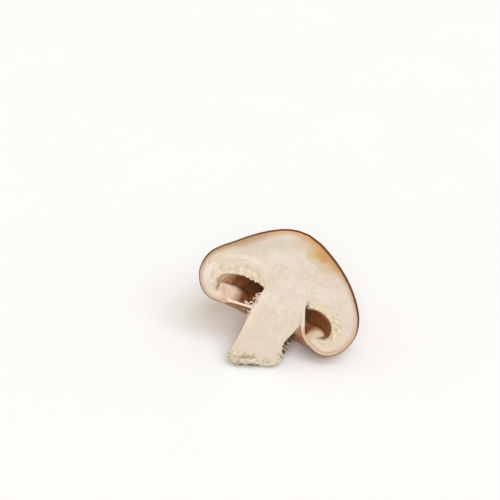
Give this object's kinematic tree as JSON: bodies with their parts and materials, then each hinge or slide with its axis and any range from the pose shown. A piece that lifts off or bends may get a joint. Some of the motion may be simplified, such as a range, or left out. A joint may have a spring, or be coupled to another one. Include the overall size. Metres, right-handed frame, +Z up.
{
  "type": "shiitake mushroom",
  "caption": "Half of a young shiitake mushroom, cut lengthwise: domed cap with rolled rim, hollow with gills, veil and stem, leaning back on its rim and foot.",
  "frame": {"origin": "on the floor that the half rests on, under the middle of its length and depth", "axes": "+Z up at rest; +X to the right along the foot of the cut face; -Y to the front, the side that the cut face looks at, leaning back 31 degrees"},
  "size_m": [0.054, 0.0374, 0.0409],
  "materials": {
    "mushroom_flesh": "fresh mushroom: ivory, finely fibrous cut flesh, matt to slightly moist, with a tan to red-brown skin over the cap"
  },
  "bodies": {
    "root": {"mushroom_half": "mushroom_flesh"}
  },
  "joints": []
}
